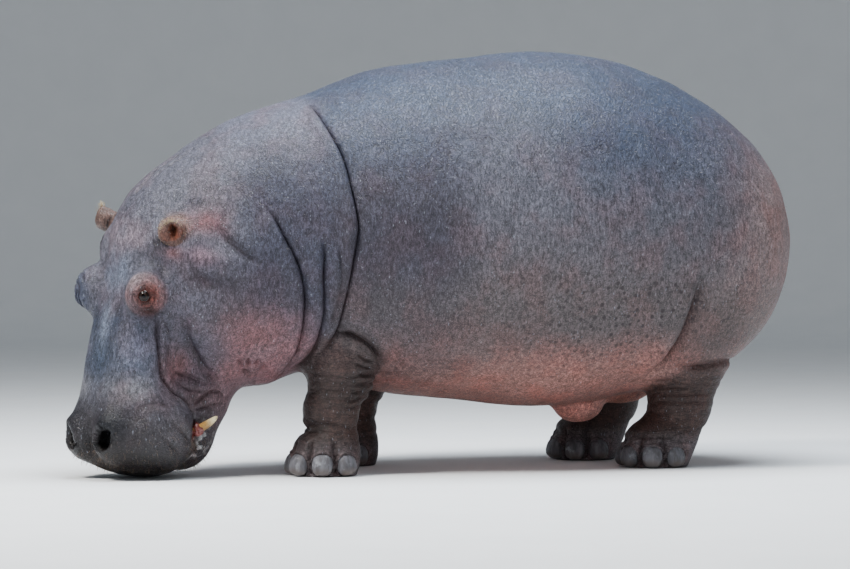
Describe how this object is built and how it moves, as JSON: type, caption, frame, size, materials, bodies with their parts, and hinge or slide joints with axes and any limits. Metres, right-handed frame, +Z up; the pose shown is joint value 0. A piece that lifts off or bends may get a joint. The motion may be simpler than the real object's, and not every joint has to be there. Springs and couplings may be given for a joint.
{
  "type": "hippopotamus",
  "caption": "Life-size standing hippopotamus, still model: barrel trunk, short legs, thick neck and a broad head lowered so the muzzle almost touches the floor.",
  "frame": {"origin": "middle of the object's bounding box, on the floor that the feet stand on", "axes": "+X is the animal's left, -Y is the way it faces, +Z is up"},
  "size_m": [1.2194, 2.75, 1.4999],
  "materials": {
    "hide": "bare wrinkled hide, slate grey above and pinkish brown below, faint damp sheen",
    "dark_hide": "dark brown-grey hide of the feet, tail and ears, dry",
    "pink_hide": "soft pinkish skin under the belly",
    "eyeball": "wet dark brown eye",
    "nail": "grey-blue horn with scuffed pale patches",
    "ivory": "stained yellow tusk with a paler tip"
  },
  "bodies": {
    "root": {"trunk": "hide", "neck": "hide", "head": "hide", "lower_jaw": "hide", "eye_left": "eyeball", "eye_right": "eyeball", "ear_left": "dark_hide", "tusk_left": "ivory", "ear_right": "dark_hide", "tusk_right": "ivory", "foreleg_left": "hide", "forefoot_left": "dark_hide", "forefoot_left_nail_1": "nail", "forefoot_left_nail_2": "nail", "forefoot_left_nail_3": "nail", "forefoot_left_nail_4": "nail", "foreleg_right": "hide", "forefoot_right": "dark_hide", "forefoot_right_nail_1": "nail", "forefoot_right_nail_2": "nail", "forefoot_right_nail_3": "nail", "forefoot_right_nail_4": "nail", "hindleg_left": "hide", "hindfoot_left": "dark_hide", "hindfoot_left_nail_1": "nail", "hindfoot_left_nail_2": "nail", "hindfoot_left_nail_3": "nail", "hindfoot_left_nail_4": "nail", "hindleg_right": "hide", "hindfoot_right": "dark_hide", "hindfoot_right_nail_1": "nail", "hindfoot_right_nail_2": "nail", "hindfoot_right_nail_3": "nail", "hindfoot_right_nail_4": "nail", "tail": "dark_hide", "groin_bulge": "pink_hide"}
  },
  "joints": []
}
